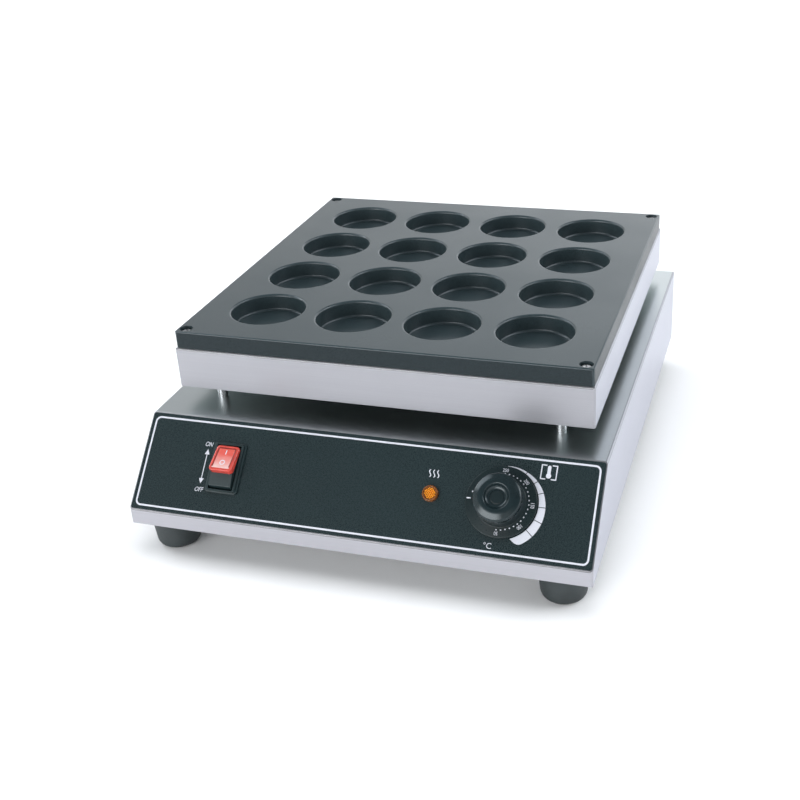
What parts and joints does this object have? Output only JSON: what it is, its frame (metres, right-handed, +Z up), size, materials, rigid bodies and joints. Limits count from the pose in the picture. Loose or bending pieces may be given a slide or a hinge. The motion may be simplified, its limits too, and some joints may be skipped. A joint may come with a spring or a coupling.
{
  "type": "electric pancake maker",
  "caption": "Countertop electric pancake maker: a dark cast plate with a grid of round cups on a steel heater box, above a base with a sloped panel, rocker switch, lamp and dial.",
  "frame": {"origin": "middle of the footprint (base and inlet gland) on the plane the feet stand on", "axes": "+Z up, -Y towards the control panel, +X to the right seen from the front"},
  "size_m": [0.4, 0.489, 0.172],
  "materials": {
    "steel_sheet": "brushed stainless sheet",
    "steel_part": "bright turned and plated steel",
    "galvanised": "plain zinc-coated sheet",
    "coated_cast": "cast aluminium with a dark non-stick coat",
    "tube_steel": "dull oxidised steel tube",
    "rubber_black": "matte moulded rubber",
    "panel_black": "satin printed sheet",
    "plastic_black": "moulded plastic, half gloss",
    "lens_red": "tinted translucent plastic",
    "lens_orange": "tinted translucent plastic",
    "nylon_pale": "unpainted nylon and phenolic",
    "ceramic_white": "glazed ceramic",
    "brass": "bare brass",
    "copper": "bare copper",
    "fibre": "pressed fibre board",
    "lead_sheath": "silicone rubber sheath"
  },
  "bodies": {
    "machine": {"base_shell": "steel_sheet", "bottom_plate": "galvanised", "bottom_screws": "steel_part", "feet": "rubber_black", "foot_washers": "steel_part", "foot_screws": "steel_part", "foot_nuts": "steel_part", "posts": "steel_part", "post_bolts": "steel_part", "post_nuts": "steel_part", "heater_box": "steel_sheet", "cup_plate": "coated_cast", "plate_screws": "steel_part", "plate_nuts": "steel_part", "heating_tube_1": "tube_steel", "heating_tube_2": "tube_steel", "heating_tube_3": "tube_steel", "heating_tube_4": "tube_steel", "clamp_bar_front": "galvanised", "clamp_bar_middle": "galvanised", "clamp_bar_rear": "galvanised", "clamp_studs": "steel_part", "clamp_nuts": "steel_part", "bus_bar_live": "brass", "bus_bar_neutral": "brass", "pin_nuts": "brass", "sensor_bulb": "copper", "bulb_saddles": "galvanised", "capillary_tube": "copper", "insulation_board": "fibre", "heat_shield": "galvanised", "wire_tube": "steel_part", "wire_tube_nuts": "steel_part", "panel_sheet": "panel_black", "switch_housing": "plastic_black", "switch_tabs": "brass", "lamp_lens": "lens_orange", "lamp_body": "nylon_pale", "lamp_clip": "steel_part", "thermostat_body": "nylon_pale", "thermostat_screws": "steel_part", "thermostat_tabs": "brass", "terminal_block": "ceramic_white", "terminal_screws": "brass", "earth_stud": "brass", "cable_gland": "plastic_black", "gland_dome": "plastic_black", "gland_nut": "plastic_black", "supply_lead": "lead_sheath", "switch_lead": "lead_sheath", "heater_lead_live": "lead_sheath", "heater_lead_neutral": "lead_sheath", "lamp_leads": "lead_sheath"},
    "rocker": {"rocker": "plastic_black", "rocker_lens": "lens_red"},
    "dial": {"knob": "plastic_black", "knob_cap": "plastic_black", "thermostat_shaft": "steel_part"}
  },
  "joints": [
    {"name": "rocker_pivot", "type": "hinge", "parent": "machine", "child": "rocker", "pos_m": [-0.1195, -0.21279, 0.07471], "axis": [1, 0, 0], "range_deg": [0, 24]},
    {"name": "dial_turn", "type": "hinge", "parent": "machine", "child": "dial", "pos_m": [0.121, -0.21279, 0.07471], "axis": [0, 0.7071, -0.7071], "range_deg": [0, 270]}
  ]
}
